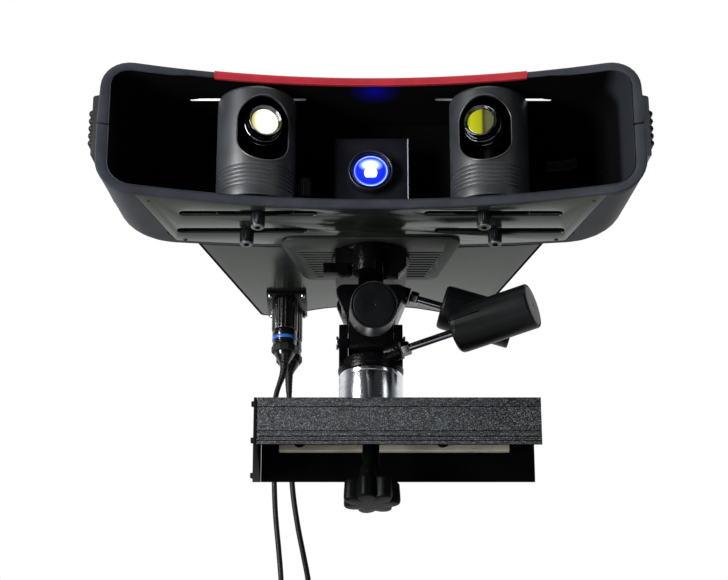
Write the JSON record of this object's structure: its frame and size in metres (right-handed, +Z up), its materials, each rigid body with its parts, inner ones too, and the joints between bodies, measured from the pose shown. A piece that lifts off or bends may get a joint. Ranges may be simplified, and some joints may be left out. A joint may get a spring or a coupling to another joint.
{
  "type": "structured-light scanner on a three-way head and rail",
  "caption": "Wide hooded structured-light scanner with camera turrets and a blue projector, on a three-way head with screw handles, a short post and a clamped rail section, with cords.",
  "frame": {"origin": "centre of the rail section's flat back face, in the plane of the post's axis", "axes": "+X along the rail and the hood's width, to the right seen from the front; +Y to the back, out of the rail's back face; +Z up along the post"},
  "size_m": [0.5338, 0.3067, 0.5846],
  "materials": {
    "casing": "fine satin, slate grey",
    "red": "satin red",
    "deck": "satin black",
    "turret": "fine texture, dark grey",
    "grip": "matt black",
    "board": "green circuit board",
    "aluminium": "satin",
    "black_plastic": "satin black",
    "black_metal": "satin black with speckle",
    "blue_glass": "coated lens, blue light behind it",
    "cream_glass": "coated filter glass",
    "cord": "smooth black jacket",
    "steel": "polished",
    "rail": "black hammertone enamel",
    "warm_grey": "matt"
  },
  "bodies": {
    "mounting": {"rail": "rail", "rail_end_cap": "black_plastic", "light_strip": "warm_grey", "post": "steel"},
    "knob": {"star_knob": "black_plastic"},
    "pan_body": {"pan_base": "black_metal", "tilt_pin": "aluminium"},
    "pan_handle": {"pan_handle_rod": "steel", "pan_handle_grip": "grip"},
    "tilt_body": {"tilt_body": "black_metal"},
    "tilt_handle": {"tilt_handle_rod": "steel", "tilt_handle_grip": "grip"},
    "roll_handle": {"roll_handle_rod": "steel", "roll_handle_grip": "grip"},
    "scanner": {"platform": "black_metal", "quick_plate": "black_metal", "vent_panel": "turret", "bottom_plate": "deck", "upper_casing": "casing", "lower_casing": "casing", "red_top_panel": "red", "side_grip_left": "grip", "side_grip_right": "grip", "rear_housing": "deck", "control_board": "board", "heat_sink": "aluminium", "cooling_fan": "black_plastic", "projector_housing": "black_plastic", "projector_barrel": "black_metal", "projector_glass": "blue_glass", "connector_block": "black_metal", "cord_plug_1": "black_plastic", "cord_plug_2": "black_plastic", "cable_left": "cord", "cable_right": "cord", "cable_coil_left": "cord", "cable_coil_right": "cord", "power_plug": "cord", "data_plug": "cord"},
    "lever": {"quick_lever": "black_metal"},
    "projector_ring": {"projector_focus_ring": "black_metal"},
    "sleeve_1": {"coupling_sleeve_1": "black_metal"},
    "sleeve_2": {"coupling_sleeve_2": "black_metal"},
    "impeller": {"fan_impeller": "black_plastic"},
    "carriage_left": {"carriage_left": "aluminium"},
    "turret_left": {"turret_left": "turret", "camera_left": "black_metal", "lens_barrel_left": "black_metal", "filter_glass_left": "cream_glass"},
    "focus_ring_left": {"focus_ring_left": "black_metal"},
    "nut_left_front": {"thumb_nut_left_front": "black_metal"},
    "nut_left_rear": {"thumb_nut_left_rear": "black_metal"},
    "carriage_right": {"carriage_right": "aluminium"},
    "turret_right": {"turret_right": "turret", "camera_right": "black_metal", "lens_barrel_right": "black_metal", "filter_glass_right": "cream_glass"},
    "focus_ring_right": {"focus_ring_right": "black_metal"},
    "nut_right_front": {"thumb_nut_right_front": "black_metal"},
    "nut_right_rear": {"thumb_nut_right_rear": "black_metal"}
  },
  "joints": [
    {"name": "pan", "type": "hinge", "parent": "mounting", "child": "pan_body", "pos_m": [0, -0.052, 0.0651], "axis": [0, 0, 1], "range_deg": [-180, 180]},
    {"name": "tilt", "type": "hinge", "parent": "pan_body", "child": "tilt_body", "pos_m": [0, -0.052, 0.0994], "axis": [1, 0, 0], "range_deg": [-35, 25], "deforming": ["cable_left", "cable_right", "cable_coil_left", "cable_coil_right", "power_plug", "data_plug"]},
    {"name": "lateral_tilt", "type": "hinge", "parent": "tilt_body", "child": "scanner", "pos_m": [0, -0.052, 0.1444], "axis": [0, 1, 0], "range_deg": [-30, 10]},
    {"name": "star_knob_turn", "type": "hinge", "parent": "mounting", "child": "knob", "pos_m": [0, -0.052, 0], "axis": [0, 0, 1], "continuous": true},
    {"name": "quick_lever_swing", "type": "hinge", "parent": "scanner", "child": "lever", "pos_m": [-0.0245, -0.0805, 0.1684], "axis": [0, 0, 1], "range_deg": [0, 75]},
    {"name": "projector_focus", "type": "hinge", "parent": "scanner", "child": "projector_ring", "pos_m": [0, -0.116, 0.2557], "axis": [0, 1, 0], "range_deg": [0, 120]},
    {"name": "fan_spin", "type": "hinge", "parent": "scanner", "child": "impeller", "pos_m": [0, 0.0008, 0.2443], "axis": [0, 1, 0], "continuous": true},
    {"name": "sleeve_turn_1", "type": "hinge", "parent": "scanner", "child": "sleeve_1", "pos_m": [-0.0862, 0.049, 0.1723], "axis": [0, 0, 1], "range_deg": [0, 90]},
    {"name": "sleeve_turn_2", "type": "hinge", "parent": "scanner", "child": "sleeve_2", "pos_m": [-0.0822, 0.075, 0.1723], "axis": [0, 0, 1], "range_deg": [0, 90]},
    {"name": "pan_handle_turn", "type": "hinge", "parent": "pan_body", "child": "pan_handle", "pos_m": [0.029, -0.0778, 0.0812], "axis": [0.91, -0.3738, 0.1794], "range_deg": [0, 180]},
    {"name": "tilt_handle_turn", "type": "hinge", "parent": "tilt_body", "child": "tilt_handle", "pos_m": [0, -0.0795, 0.1118], "axis": [0.0201, -0.9527, -0.3032], "range_deg": [0, 180]},
    {"name": "roll_handle_turn", "type": "hinge", "parent": "tilt_body", "child": "roll_handle", "pos_m": [0.0372, -0.0505, 0.1486], "axis": [0.9596, 0.068, -0.2732], "range_deg": [0, 180]},
    {"name": "carriage_slide_left", "type": "slide", "parent": "scanner", "child": "carriage_left", "axis": [1, 0, 0], "range_m": [-0.06, 0.03]},
    {"name": "turret_turn_left", "type": "hinge", "parent": "carriage_left", "child": "turret_left", "pos_m": [-0.1097, -0.126, 0.2036], "axis": [0, 0, 1], "range_deg": [-12, 12]},
    {"name": "lens_focus_left", "type": "hinge", "parent": "turret_left", "child": "focus_ring_left", "pos_m": [-0.1097, -0.126, 0.2833], "axis": [0.284, -0.9588, 0], "range_deg": [0, 120]},
    {"name": "nut_turn_left_front", "type": "hinge", "parent": "carriage_left", "child": "nut_left_front", "pos_m": [-0.106, -0.1443, 0.1843], "axis": [0, 0, 1], "continuous": true},
    {"name": "nut_turn_left_rear", "type": "hinge", "parent": "carriage_left", "child": "nut_left_rear", "pos_m": [-0.118, -0.1077, 0.1843], "axis": [0, 0, 1], "continuous": true},
    {"name": "carriage_slide_right", "type": "slide", "parent": "scanner", "child": "carriage_right", "axis": [1, 0, 0], "range_m": [-0.03, 0.06]},
    {"name": "turret_turn_right", "type": "hinge", "parent": "carriage_right", "child": "turret_right", "pos_m": [0.1136, -0.126, 0.2036], "axis": [0, 0, 1], "range_deg": [-12, 12]},
    {"name": "lens_focus_right", "type": "hinge", "parent": "turret_right", "child": "focus_ring_right", "pos_m": [0.1136, -0.126, 0.2833], "axis": [-0.284, -0.9588, 0], "range_deg": [0, 120]},
    {"name": "nut_turn_right_front", "type": "hinge", "parent": "carriage_right", "child": "nut_right_front", "pos_m": [0.106, -0.1443, 0.1843], "axis": [0, 0, 1], "continuous": true},
    {"name": "nut_turn_right_rear", "type": "hinge", "parent": "carriage_right", "child": "nut_right_rear", "pos_m": [0.118, -0.1077, 0.1843], "axis": [0, 0, 1], "continuous": true}
  ]
}
